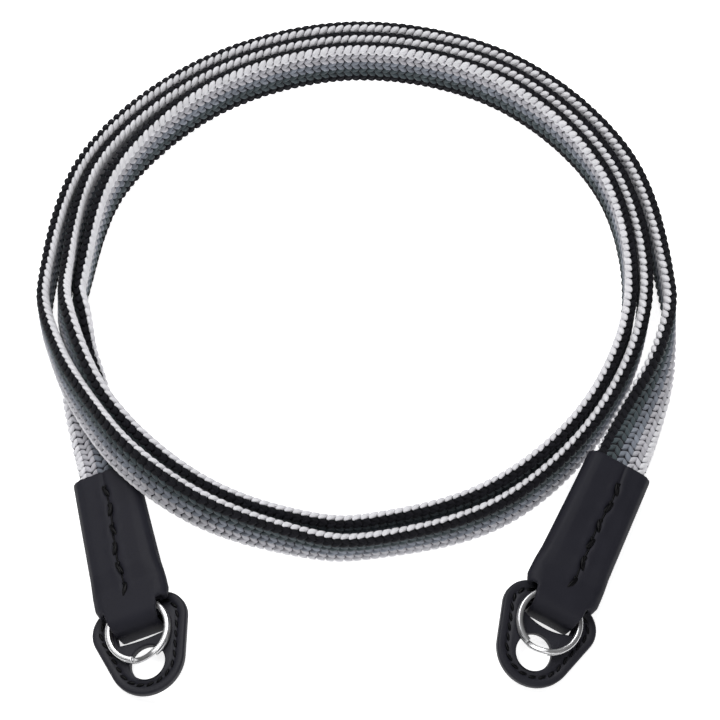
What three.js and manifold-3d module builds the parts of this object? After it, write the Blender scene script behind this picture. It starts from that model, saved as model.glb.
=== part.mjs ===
// A flat braided camera strap, lying coiled on a table.
// The woven band stands on its edge and winds inwards, anticlockwise from above, through about 2.7 turns.
// Both ends turn over onto the band's outer face and run into leather sleeves, each with a tab that holds
// a split ring and a leather guard. The left end dives under the two outer turns.
// Millimetres, +Z up, the table is at z = 0.
import * as THREE from "three";
import { mergeVertices } from "three/addons/utils/BufferGeometryUtils.js";
import Module from "manifold-3d";

const wasm = await Module();
wasm.setup();

// The woven band
const BAND_WIDTH = 12;
const BAND_THICKNESS = 2.8;
const BAND_EDGE = 1.1; // depth of each rounded edge
const BAND_STEP = 5.2; // longest step between sections

// The coil
const COIL_RADIUS = 66.7;
const TURN_GAP = 0.3;
const TURN_PITCH = BAND_THICKNESS + TURN_GAP;

// Leather sleeves and tabs
const LEATHER = 1.1;
const SLEEVE_LENGTH = 34.5;
const SLEEVE_ROOM = 0.3; // between the band and the leather
const SLEEVE_EDGE_ROOM = 0.7; // at the folded sides
const SLEEVE_FLARE = 1.2; // how much wider the sleeve is at its ring end
const SLEEVE_TAPER = 1.6; // how much thinner it is there
const SLEEVE_WIDTH = BAND_WIDTH + 2 * (LEATHER + SLEEVE_EDGE_ROOM);
const SLEEVE_THICKNESS = BAND_THICKNESS + 2 * (LEATHER + SLEEVE_ROOM);
const BAND_IN_SLEEVE = 26;
const TAB_WIDTH = 12.8;
const TAB_TIP_WIDTH = 10.2;
const TAB_REACH = 4.1; // how far the space inside the tab runs past the sleeve
const TAB_BEND = 2.4; // inner radius of its bend over the ring
const TAB_ROOT = 8; // how far the tab's lower end runs under the sleeve
const TAB_POCKET = 3.4; // how far the space inside the tab runs into the sleeve
const FIT = 0.28; // clearance between ring, guard and tab

// Split rings
const RING_DIAMETER = 15;
const RING_WIRE_WIDTH = 1.25;
const RING_WIRE_HEIGHT = 0.95;
const RING_TURN_GAP = 0.12;
const RING_HEIGHT = 2 * RING_WIRE_HEIGHT + RING_TURN_GAP;
const RING_JOG = 22; // degrees on each side of the step between its two turns

// Leather guards
const GUARD_THICKNESS = 2;
const GUARD_LENGTH = 22.5;
const GUARD_WIDTH = 22.4;
const GUARD_SHOULDER = 5.9; // radius of its two upper corners
const GUARD_TIP = 8.8; // radius of its lower end
const GUARD_INSET = 2.3; // how far its upper edge runs under the sleeve
const GUARD_PLAY = 1.2; // how far it can slip in the tab
// leather between its upper edge and the slot
const GUARD_BAR = TAB_REACH + GUARD_INSET - GUARD_PLAY - 2 * FIT;
const SLOT_SLACK = 0.3; // how much longer the slot is than the tab and the play need
const GUARD_DROP = 3; // degrees by which its tip hangs below the line of the sleeve
const GUARD_HOLE_WIDTH = 8.2;
const GUARD_HOLE_MARGIN = 3.5; // leather below the hole
const GUARD_BRIDGE = 2.8; // leather between the slot and the hole

// Radius of the innermost turn at each angle of the coil, as a share of the coil's radius
const COIL_SHAPE = [
  { angle: 0, radius: 0.947 },
  { angle: 30, radius: 0.993 },
  { angle: 60, radius: 1.01 },
  { angle: 90, radius: 1.003 },
  { angle: 120, radius: 0.992 },
  { angle: 150, radius: 0.982 },
  { angle: 180, radius: 0.97 },
  { angle: 195, radius: 1.004 },
  { angle: 210, radius: 0.993 },
  { angle: 225, radius: 0.968 },
  { angle: 240, radius: 0.952 },
  { angle: 255, radius: 0.93 },
  { angle: 270, radius: 0.911 },
  { angle: 300, radius: 0.901 },
  { angle: 330, radius: 0.911 },
];

// The band's course from the right end inwards. turn is the angle wound so far, out counts turn pitches
// outwards from the innermost turn, lean tips the upper edge outwards, and lift is a share of the height
// of the left end, which the band passes over.
const COURSE = [
  { turn: 0, out: 2.85, lean: 0, lift: 0 },
  { turn: 30, out: 2.27, lean: 2, lift: 0 },
  { turn: 60, out: 2.03, lean: 6, lift: 0 },
  { turn: 90, out: 2.02, lean: 8, lift: 0 },
  { turn: 120, out: 2.06, lean: 9, lift: 0 },
  { turn: 150, out: 2.58, lean: 6, lift: 0 },
  { turn: 180, out: 2.55, lean: 0, lift: 0.08 },
  { turn: 195, out: 1.27, lean: -3, lift: 0.28 },
  { turn: 210, out: 1.23, lean: -10, lift: 0.67 },
  { turn: 225, out: 2.02, lean: -12, lift: 1 },
  { turn: 240, out: 2.0, lean: -9, lift: 0.79 },
  { turn: 255, out: 1.74, lean: -1, lift: 0.42 },
  { turn: 270, out: 1.7, lean: 7, lift: 0.14 },
  { turn: 300, out: 1.5, lean: -2, lift: 0 },
  { turn: 330, out: 1.15, lean: -2, lift: 0 },
  { turn: 360, out: 1.12, lean: 2, lift: 0 },
  { turn: 390, out: 1, lean: 4, lift: 0 },
  { turn: 420, out: 1, lean: 7, lift: 0 },
  { turn: 450, out: 1.01, lean: 8, lift: 0 },
  { turn: 480, out: 1.06, lean: 9, lift: 0 },
  { turn: 510, out: 1.55, lean: 5, lift: 0 },
  { turn: 540, out: 1, lean: -4, lift: 0.28 },
  { turn: 555, out: 0, lean: -8, lift: 0.69 },
  { turn: 570, out: 0, lean: -8, lift: 0.66 },
  { turn: 585, out: 0, lean: -4, lift: 0.5 },
  { turn: 600, out: 0, lean: -5, lift: 0.3 },
  { turn: 615, out: 0, lean: -1, lift: 0.13 },
  { turn: 630, out: 0, lean: 6, lift: 0.03 },
  { turn: 660, out: 0, lean: -1, lift: 0 },
  { turn: 690, out: 0, lean: -1, lift: 0 },
  { turn: 720, out: 0, lean: 1, lift: 0 },
  { turn: 750, out: 0, lean: 3, lift: 0 },
  { turn: 780, out: 0, lean: 8, lift: 0 },
  { turn: 810, out: 0, lean: 9, lift: 0 },
  { turn: 840, out: 0, lean: 10, lift: 0 },
  { turn: 870, out: 0, lean: 6, lift: 0 },
  { turn: 900, out: 0, lean: -5, lift: 0 },
];

// Where each end leaves the coil: the same angles, radii as shares of the coil's radius, and lean; lift is
// a share of the height of the end's mouth above where it would lie. heading is the way the sleeve points,
// roll lifts its inner side and pitch lowers its ring end. slip is how far the ring and the guard have slipped
// out in the tab.
const ENDS = {
  right: {
    lead: [
      { turn: -27, radius: 1.08, lean: -52, lift: 0.4 },
      { turn: -14, radius: 1.082, lean: -21, lift: 0 },
    ],
    mouth: { turn: -38.4, radius: 1.121 },
    heading: -113.6,
    roll: -18,
    pitch: 1.5,
    slip: { ring: 2, guard: 1.2 },
  },
  left: {
    lead: [
      { turn: 907, radius: 0.967, lean: -16, lift: 0 },
      { turn: 915, radius: 0.992, lean: -39, lift: 0 },
      { turn: 922, radius: 1.009, lean: -58, lift: 0 },
      { turn: 931, radius: 1.045, lean: -66, lift: 0.3 },
    ],
    mouth: { turn: 939.3, radius: 1.102 },
    heading: -77.8,
    roll: 18.5,
    pitch: -2.5,
    slip: { ring: 1.4, guard: 0.2 },
  },
};

const rad = THREE.MathUtils.degToRad;

// Materials
const webbing = new THREE.MeshStandardMaterial({ color: 0x8d9198, roughness: 0.85, metalness: 0 });
const leather = new THREE.MeshStandardMaterial({ color: 0x24242b, roughness: 0.55, metalness: 0 });
const steel = new THREE.MeshStandardMaterial({ color: 0xd0d0d2, roughness: 0.2, metalness: 1 });

// A smooth run through values that are given at rising stations.
function smoothRun(stations, values) {
  const last = values.length - 1;
  const slopes = values.map((_, i) => {
    const before = Math.max(i - 1, 0);
    const after = Math.min(i + 1, last);
    return (values[after] - values[before]) / (stations[after] - stations[before]);
  });
  return (at) => {
    let i = 0;
    while (i < last - 1 && stations[i + 1] < at) i += 1;
    const span = stations[i + 1] - stations[i];
    const t = (at - stations[i]) / span;
    const rise = values[i + 1] - values[i];
    const bend = slopes[i] * span - rise;
    const unbend = rise - slopes[i + 1] * span;
    return values[i] + t * rise + t * (1 - t) * (bend * (1 - t) + unbend * t);
  };
}

// The outline of a flat section with rounded edges, across and thick about its middle.
function flatSection(width, thickness, edge, steps) {
  const points = [];
  for (const side of [1, -1]) {
    for (let i = 0; i <= steps; i += 1) {
      const turn = -Math.PI / 2 + (Math.PI * i) / steps;
      const along = side * (width / 2 - edge + edge * Math.cos(turn));
      points.push(new THREE.Vector2(along, (side * thickness * Math.sin(turn)) / 2));
    }
  }
  return points;
}

// A closed solid through rings of points, each with as many points as the next.
function loft(rings) {
  const count = rings[0].length;
  const positions = rings.flat().flatMap((p) => p.toArray());
  const faces = [];
  for (let r = 0; r + 1 < rings.length; r += 1) {
    for (let i = 0; i < count; i += 1) {
      const a = r * count + i;
      const b = r * count + ((i + 1) % count);
      faces.push(a, b, a + count, b, b + count, a + count);
    }
  }
  const top = (rings.length - 1) * count;
  for (let i = 1; i + 1 < count; i += 1) {
    faces.push(0, i + 1, i, top, top + i, top + i + 1);
  }
  const geometry = new THREE.BufferGeometry();
  geometry.setAttribute("position", new THREE.Float32BufferAttribute(positions, 3));
  geometry.setIndex(faces);
  return geometry;
}

// A three.js geometry as a solid that can be cut and joined.
function solidOf(geometry) {
  const bare = geometry.clone();
  bare.deleteAttribute("normal");
  bare.deleteAttribute("uv");
  const merged = mergeVertices(bare, 1e-4);
  return new wasm.Manifold(
    new wasm.Mesh({
      numProp: 3,
      vertProperties: new Float32Array(merged.attributes.position.array),
      triVerts: new Uint32Array(merged.index.array),
    }),
  );
}

// A solid back as a three.js geometry.
function geometryOf(solid) {
  const mesh = solid.getMesh();
  const geometry = new THREE.BufferGeometry();
  geometry.setAttribute("position", new THREE.BufferAttribute(mesh.vertProperties, 3));
  geometry.setIndex(new THREE.BufferAttribute(mesh.triVerts, 1));
  geometry.computeVertexNormals();
  return geometry;
}

// How far the band's middle stands above what it rests on at a given lean.
function standingHeight(lean) {
  const flat = (BAND_WIDTH / 2 - BAND_EDGE) * Math.abs(Math.cos(lean));
  return flat + Math.hypot(BAND_EDGE * Math.cos(lean), (BAND_THICKNESS / 2) * Math.sin(lean));
}

function polar(turn, radius, z) {
  return new THREE.Vector3(radius * Math.cos(rad(turn)), radius * Math.sin(rad(turn)), z);
}

// The band's stations at a sleeve, from just outside the mouth to the band's end.
function stationsInSleeve(side, frame) {
  return [-0.1, 0, 0.35, 0.7, 1].map((share) => ({
    point: new THREE.Vector3(share * BAND_IN_SLEEVE, 0, 0).applyMatrix4(frame.matrixWorld),
    lean: Math.abs(ENDS[side].roll) - 90,
  }));
}

// The band's middle line and lean, from its right end to its left end.
function bandStations(frames) {
  const angles = COIL_SHAPE.map((row) => row.angle);
  const radii = COIL_SHAPE.map((row) => row.radius);
  const innermost = (turn) => radii[angles.indexOf(((turn % 360) + 360) % 360)] * COIL_RADIUS;
  const halfSleeve = (side) => {
    const tilt = Math.abs(rad(ENDS[side].roll));
    return (SLEEVE_WIDTH * Math.sin(tilt) + SLEEVE_THICKNESS * Math.cos(tilt)) / 2;
  };
  const leftTop = frames.left.position.z + halfSleeve("left");
  const coil = COURSE.map(({ turn, out, lean, lift }) => ({
    point: polar(turn, innermost(turn) + out * TURN_PITCH, standingHeight(rad(lean)) + lift * leftTop),
    lean,
  }));
  const lead = (side) => {
    const floating = frames[side].position.z - halfSleeve(side);
    return ENDS[side].lead.map(({ turn, radius, lean, lift }) => ({
      point: polar(turn, radius * COIL_RADIUS, standingHeight(rad(lean)) + lift * floating),
      lean,
    }));
  };
  return [
    ...stationsInSleeve("right", frames.right).reverse(),
    ...lead("right"),
    ...coil,
    ...lead("left"),
    ...stationsInSleeve("left", frames.left),
  ];
}

// The woven band: one section swept along its middle line, turned by its lean.
function makeBand(frames) {
  const stations = bandStations(frames);
  const along = [0];
  for (let i = 1; i < stations.length; i += 1) {
    along.push(along[i - 1] + stations[i].point.distanceTo(stations[i - 1].point));
  }
  const runs = ["x", "y", "z"].map((axis) => smoothRun(along, stations.map((s) => s.point[axis])));
  const lean = smoothRun(along, stations.map((s) => rad(s.lean)));
  const middle = (at) => new THREE.Vector3(...runs.map((run) => run(at)));
  const length = along[along.length - 1];
  const steps = Math.ceil(length / BAND_STEP);
  const nudge = 0.1;
  const section = flatSection(BAND_WIDTH, BAND_THICKNESS, BAND_EDGE, 4);
  const rings = [];
  for (let i = 0; i <= steps; i += 1) {
    const at = (length * i) / steps;
    const centre = middle(at);
    const forward = middle(Math.min(at + nudge, length)).sub(middle(Math.max(at - nudge, 0))).normalize();
    const out = new THREE.Vector3(forward.y, -forward.x, 0).normalize();
    const upright = new THREE.Vector3().crossVectors(out, forward);
    const tilt = lean(at);
    const across = upright.clone().multiplyScalar(Math.cos(tilt)).addScaledVector(out, Math.sin(tilt));
    const face = out.clone().multiplyScalar(Math.cos(tilt)).addScaledVector(upright, -Math.sin(tilt));
    rings.push(
      section.map((p) => centre.clone().addScaledVector(across, p.x).addScaledVector(face, p.y)),
    );
  }
  return loft(rings);
}

// A ring of points for a sleeve section at a place along it.
function sleeveRing(at, width, thickness, edge) {
  return flatSection(width, thickness, edge, 6).map((p) => new THREE.Vector3(at, p.x, p.y));
}

// The space inside the tab seen from its side, for the ring above the guard. grow widens it on all sides.
function tabSpace(grow) {
  const half = (SLEEVE_THICKNESS - SLEEVE_TAPER) / 2;
  const drop = (TAB_POCKET + TAB_REACH) * Math.tan(rad(GUARD_DROP));
  const low = -half - GUARD_THICKNESS - 2 * FIT - drop - grow;
  const tip = SLEEVE_LENGTH + TAB_REACH + grow;
  return { top: half - LEATHER + grow, low, bend: TAB_BEND + grow, tip, back: SLEEVE_LENGTH - TAB_POCKET };
}

// The tab as a strip of leather seen from its side: over the ring and the guard and back beneath them.
function tabProfile() {
  const { top, low, bend, tip, back } = tabSpace(LEATHER);
  const shape = new THREE.Shape();
  shape.moveTo(back, top);
  shape.lineTo(SLEEVE_LENGTH - TAB_ROOT, 0);
  shape.lineTo(back - LEATHER, low);
  shape.absarc(tip - LEATHER, low + LEATHER, LEATHER, -Math.PI / 2, 0, false);
  shape.absarc(tip - bend, top - bend, bend, 0, Math.PI / 2, false);
  return shape;
}

function pocketProfile() {
  const { top, low, bend, tip, back } = tabSpace(0);
  const shape = new THREE.Shape();
  shape.moveTo(back, low);
  shape.lineTo(tip, low);
  shape.absarc(tip - bend, top - bend, bend, 0, Math.PI / 2, false);
  shape.lineTo(back, top);
  return shape;
}

// A side view made as wide as the strip, narrower towards its tip.
function acrossTab(profile, tipWidth) {
  const tab = new THREE.ExtrudeGeometry(profile, { depth: 1, bevelEnabled: false, curveSegments: 4 });
  tab.translate(0, 0, -0.5);
  tab.rotateX(Math.PI / 2);
  const place = tab.attributes.position;
  for (let i = 0; i < place.count; i += 1) {
    const out = THREE.MathUtils.clamp((place.getX(i) - SLEEVE_LENGTH) / (TAB_REACH + LEATHER), 0, 1);
    place.setY(i, place.getY(i) * THREE.MathUtils.lerp(TAB_WIDTH, tipWidth, out));
  }
  return solidOf(tab);
}

// Sleeve and tab, one piece of leather around the band's end.
function makeSleeve() {
  const flared = SLEEVE_WIDTH + SLEEVE_FLARE;
  const thin = SLEEVE_THICKNESS - SLEEVE_TAPER;
  const edge = SLEEVE_THICKNESS / 2;
  const corner = SLEEVE_LENGTH * 0.04;
  const outside = loft([
    sleeveRing(0, SLEEVE_WIDTH, SLEEVE_THICKNESS, edge),
    sleeveRing(BAND_IN_SLEEVE, SLEEVE_WIDTH + SLEEVE_FLARE / 2, SLEEVE_THICKNESS, edge),
    sleeveRing(SLEEVE_LENGTH - TAB_POCKET - LEATHER, flared, thin, edge),
    sleeveRing(SLEEVE_LENGTH - corner, flared, thin, edge),
    sleeveRing(SLEEVE_LENGTH, flared - corner, thin, edge),
  ]);
  const room = 2 * SLEEVE_ROOM;
  const bore = loft([
    sleeveRing(-1, BAND_WIDTH + room, BAND_THICKNESS + room, BAND_EDGE),
    sleeveRing(BAND_IN_SLEEVE + SLEEVE_ROOM, BAND_WIDTH + room, BAND_THICKNESS + room, BAND_EDGE),
  ]);
  const leatherBody = solidOf(outside).add(acrossTab(tabProfile(), TAB_TIP_WIDTH));
  const pocket = acrossTab(pocketProfile(), TAB_WIDTH);
  return geometryOf(leatherBody.subtract(pocket).subtract(solidOf(bore)));
}

// Split ring: two turns of flat wire, with a step from the lower to the upper one.
function makeRing() {
  const radius = (RING_DIAMETER - RING_WIRE_WIDTH) / 2;
  const pitch = RING_WIRE_HEIGHT + RING_TURN_GAP;
  const start = RING_JOG;
  const end = 720 - RING_JOG;
  const steps = 46;
  const corner = 0.3;
  const section = [
    [0.5, -0.5 + corner],
    [0.5, 0.5 - corner],
    [0.5 - corner, 0.5],
    [-0.5, 0.5],
    [-0.5, -0.5],
    [0.5 - corner, -0.5],
  ];
  const rings = [];
  for (let i = 0; i <= steps; i += 1) {
    const turn = start + ((end - start) * i) / steps;
    const step = THREE.MathUtils.smoothstep(turn, 360 - RING_JOG, 360 + RING_JOG);
    const height = pitch * (step - 0.5);
    rings.push(
      section.map(([u, v]) => polar(turn, radius + u * RING_WIRE_WIDTH, height + v * RING_WIRE_HEIGHT)),
    );
  }
  return loft(rings.map((ring) => ring.reverse()));
}

// The guard seen from above: two round shoulders, a straight upper edge and a round tip, with the slot
// for the tab and the hole. X runs from the upper edge to the tip.
function guardShape() {
  const shoulder = { x: GUARD_SHOULDER, y: GUARD_WIDTH / 2 - GUARD_SHOULDER };
  const tip = { x: GUARD_LENGTH - GUARD_TIP, y: 0 };
  const apart = Math.hypot(tip.x - shoulder.x, shoulder.y);
  const slope = Math.atan2(shoulder.y, tip.x - shoulder.x);
  const side = Math.acos((GUARD_SHOULDER - GUARD_TIP) / apart) - slope;
  const shape = new THREE.Shape();
  shape.absarc(shoulder.x, shoulder.y, GUARD_SHOULDER, Math.PI, side, true);
  shape.absarc(tip.x, tip.y, GUARD_TIP, side, -side, true);
  shape.absarc(shoulder.x, -shoulder.y, GUARD_SHOULDER, -side, -Math.PI, true);
  const slotEnd = GUARD_BAR + LEATHER + 2 * FIT + GUARD_PLAY + SLOT_SLACK;
  const slotHalf = TAB_TIP_WIDTH / 2 + 2 * FIT;
  const slot = new THREE.Path();
  slot.moveTo(GUARD_BAR, -slotHalf);
  slot.lineTo(slotEnd, -slotHalf);
  slot.lineTo(slotEnd, slotHalf);
  slot.lineTo(GUARD_BAR, slotHalf);
  shape.holes.push(slot);
  const hole = new THREE.Path();
  const holeTop = slotEnd + GUARD_BRIDGE;
  const holeEnd = GUARD_LENGTH - GUARD_HOLE_MARGIN;
  const holeHalf = (holeEnd - holeTop) / 2;
  hole.absellipse(holeTop + holeHalf, 0, holeHalf, GUARD_HOLE_WIDTH / 2, 0, 2 * Math.PI, false);
  shape.holes.push(hole);
  return shape;
}

function makeGuard() {
  const guard = new THREE.ExtrudeGeometry(guardShape(), {
    depth: GUARD_THICKNESS,
    bevelEnabled: false,
    curveSegments: 7,
  });
  guard.translate(0, 0, -GUARD_THICKNESS / 2);
  return guard;
}

function named(name, geometry, material) {
  const mesh = new THREE.Mesh(geometry, material);
  mesh.name = name;
  return mesh;
}

// One end: the sleeve with its ring and guard in the tab, X towards the ring and Z up from the leather's
// upper face, turned as the end lies and let down onto the table.
function makeEnd(side) {
  const { mouth, heading, roll, pitch, slip } = ENDS[side];
  const { top, back } = tabSpace(0);
  const underside = -(SLEEVE_THICKNESS - SLEEVE_TAPER) / 2;
  const ring = named(`${side}_ring`, makeRing(), steel);
  ring.position.set(back + FIT + RING_DIAMETER / 2 + slip.ring, 0, underside + RING_HEIGHT / 2);
  const guard = named(`${side}_guard`, makeGuard(), leather);
  guard.position.set(SLEEVE_LENGTH - GUARD_INSET + slip.guard, 0, underside - FIT - GUARD_THICKNESS / 2);
  const hung = new THREE.Group();
  hung.add(ring, guard);
  hung.rotation.y = rad(GUARD_DROP);
  const pivot = new THREE.Vector3(back, 0, top);
  hung.position.copy(pivot).sub(pivot.clone().applyEuler(hung.rotation));
  const group = new THREE.Group();
  group.add(named(`${side}_sleeve`, makeSleeve(), leather), hung);
  group.rotation.set(rad(roll), rad(pitch), rad(heading), "ZYX");
  group.position.copy(polar(mouth.turn, mouth.radius * COIL_RADIUS, 0));
  group.updateMatrixWorld(true);
  group.position.z = -new THREE.Box3().setFromObject(group, true).min.z;
  group.updateMatrixWorld(true);
  return group;
}

const strap = new THREE.Group();
const ends = { left: makeEnd("left"), right: makeEnd("right") };
strap.add(named("strap_band", makeBand(ends), webbing), ends.left, ends.right);

// The part's origin is under the middle of the whole, on the table.
strap.updateMatrixWorld(true);
const box = new THREE.Box3().setFromObject(strap, true);
const middle = box.getCenter(new THREE.Vector3());
strap.position.set(-middle.x, -middle.y, -box.min.z);

export default strap;
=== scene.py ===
"""A flat braided camera strap, lying coiled on a pale table.

The braid's yarns, the leather ends with their stitching, the split rings and the ring guards are built here
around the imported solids, in metres.
"""

from __future__ import annotations

import logging
import math
from dataclasses import dataclass
from enum import Enum
from typing import Sequence

import bmesh
import bpy
import numpy as np
from bpy.types import Material, Node, NodeSocket, NodeTree, Object
from mathutils import Matrix, Vector
from mathutils.geometry import tessellate_polygon

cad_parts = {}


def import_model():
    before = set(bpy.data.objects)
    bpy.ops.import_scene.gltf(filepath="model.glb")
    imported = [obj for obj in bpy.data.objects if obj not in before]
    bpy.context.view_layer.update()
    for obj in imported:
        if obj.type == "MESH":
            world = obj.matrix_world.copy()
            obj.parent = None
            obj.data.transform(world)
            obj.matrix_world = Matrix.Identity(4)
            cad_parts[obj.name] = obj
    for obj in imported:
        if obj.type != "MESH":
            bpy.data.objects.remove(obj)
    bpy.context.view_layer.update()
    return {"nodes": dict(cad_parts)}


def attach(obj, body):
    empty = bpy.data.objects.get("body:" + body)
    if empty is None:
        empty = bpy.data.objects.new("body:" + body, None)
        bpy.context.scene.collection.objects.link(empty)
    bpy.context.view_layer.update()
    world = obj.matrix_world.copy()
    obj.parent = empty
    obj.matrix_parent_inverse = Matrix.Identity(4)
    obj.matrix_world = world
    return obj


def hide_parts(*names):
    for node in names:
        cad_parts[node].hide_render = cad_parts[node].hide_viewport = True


log = logging.getLogger("camera_strap")

MM = 0.001
BODY = "root"

# The photograph's width and the middle of the coil in it, in pixels, and that middle's place in metres
PHOTO_WIDTH = 720
COIL_IN_PHOTO = (358.0, 286.0)
COIL_MIDDLE = (0.058 * MM, 12.139 * MM, 11.224 * MM)

Point2 = tuple[float, float]
Colour = tuple[float, float, float]


class Side(Enum):
    """The two ends of the strap, by their side of the photograph."""

    LEFT = "left"
    RIGHT = "right"


# Curves


def clamped(value: float) -> float:
    """A value kept between 0 and 1."""
    return min(max(value, 0.0), 1.0)


def eased(value: float | np.ndarray) -> float | np.ndarray:
    """A value between 0 and 1, or a row of them, with soft ends."""
    return value * value * (3 - 2 * value)


def bell(distance: float, width: float) -> float:
    """A hump of height 1 that dies away over about a width to each side."""
    return math.exp(-(distance / width) ** 2)


# Meshes


def loft_faces(rings: int, count: int, caps: bool = True) -> list[list[int]]:
    """Faces between rings of points that follow each other.

    Args:
        rings: How many rings there are.
        count: How many points each ring has.
        caps: Whether the first and last ring are closed.

    Returns:
        Lists of vertex numbers.
    """
    faces = []
    for ring in range(rings - 1):
        for i in range(count):
            a = ring * count + i
            b = ring * count + (i + 1) % count
            faces.append([a, b, b + count, a + count])
    if caps:
        last = (rings - 1) * count
        faces.append(list(range(count))[::-1])
        faces.append([last + i for i in range(count)])
    return faces


def mesh_object(name: str, points: Sequence[Sequence[float]], faces: Sequence[Sequence[int]],
                weld: float = 0.0) -> Object:
    """Makes a smooth mesh object whose faces point outwards.

    Args:
        name: The object's name.
        points: Vertices in metres.
        faces: Lists of vertex numbers.
        weld: Distance under which vertices are merged, 0 for none.

    Returns:
        The new object, linked to the scene.
    """
    mesh = bpy.data.meshes.new(name)
    mesh.from_pydata([tuple(p) for p in points], [], faces)
    bm = bmesh.new()
    bm.from_mesh(mesh)
    if weld > 0:
        bmesh.ops.remove_doubles(bm, verts=bm.verts, dist=weld)
    bmesh.ops.recalc_face_normals(bm, faces=bm.faces)
    bm.to_mesh(mesh)
    bm.free()
    mesh.shade_smooth()
    return linked(name, mesh)


def linked(name: str, data: bpy.types.ID) -> Object:
    """Makes a new object of the scene.

    Args:
        name: The object's name.
        data: The mesh, light or camera that it shows.

    Returns:
        The object.
    """
    obj = bpy.data.objects.new(name, data)
    bpy.context.scene.collection.objects.link(obj)
    return obj


def applied(obj: Object, material: Material | None = None) -> Object:
    """Turns an object's modifiers into its plain mesh and removes them.

    Args:
        obj: The object.
        material: What its mesh is made of, if it has no material of its own.

    Returns:
        The same object.
    """
    bpy.context.view_layer.update()
    depsgraph = bpy.context.evaluated_depsgraph_get()
    mesh = bpy.data.meshes.new_from_object(obj.evaluated_get(depsgraph))
    obj.modifiers.clear()
    obj.data = mesh
    if material is not None:
        mesh.materials.clear()
        mesh.materials.append(material)
    return obj


def seat(piece: Object, nodes: Sequence[str] = ()) -> None:
    """Puts a finished piece on the part's body, hides the solids that it replaces and logs its triangles.

    Args:
        piece: The piece.
        nodes: The solids that it replaces.
    """
    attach(piece, BODY)
    for node in nodes:
        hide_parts(node)
    piece.data.calc_loop_triangles()
    log.info("%s: %d triangles", piece.name, len(piece.data.loop_triangles))


# Node trees


class Tree:
    """Builds a node tree with few words."""

    def __init__(self, tree: NodeTree) -> None:
        """Keeps the tree that is built."""
        self.tree = tree

    def add(self, kind: str, inputs: dict | None = None, **settings: object) -> Node:
        """Adds a node.

        Args:
            kind: The node's type.
            inputs: Values or output sockets for its inputs, by name or number.
            settings: Its properties.

        Returns:
            The new node.
        """
        node = self.tree.nodes.new(kind)
        for key, value in settings.items():
            setattr(node, key, value)
        self.fill(node, inputs or {})
        return node

    def fill(self, node: Node, inputs: dict) -> None:
        """Sets or links a node's inputs.

        Args:
            node: The node.
            inputs: Values or output sockets, by the input's name or number.
        """
        for key, value in inputs.items():
            socket = node.inputs[key]
            if isinstance(value, NodeSocket):
                self.tree.links.new(value, socket)
            else:
                socket.default_value = value

    def math(self, operation: str, a: object, b: object = 0.0) -> NodeSocket:
        """The result of a Math node."""
        return self.add("ShaderNodeMath", {0: a, 1: b}, operation=operation).outputs[0]

    def scaled(self, vector: object, factor: object) -> NodeSocket:
        """A vector times a number."""
        node = self.add("ShaderNodeVectorMath", {0: vector, "Scale": factor}, operation="SCALE")
        return node.outputs[0]

    def named(self, name: str, data_type: str) -> NodeSocket:
        """A named attribute of the geometry."""
        node = self.add("GeometryNodeInputNamedAttribute", {"Name": name}, data_type=data_type)
        return node.outputs[0]


@dataclass(frozen=True)
class Shape:
    """A small piece of yarn: a ball that is drawn out to its length, width and height.

    Taper thins it towards its far end, and point thins both ends. Its copies differ in size by unevenness.
    """

    length: float
    width: float
    height: float
    taper: float = 0.0
    point: float = 0.0
    unevenness: float = 0.08
    segments: int = 8
    rings: int = 5


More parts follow.
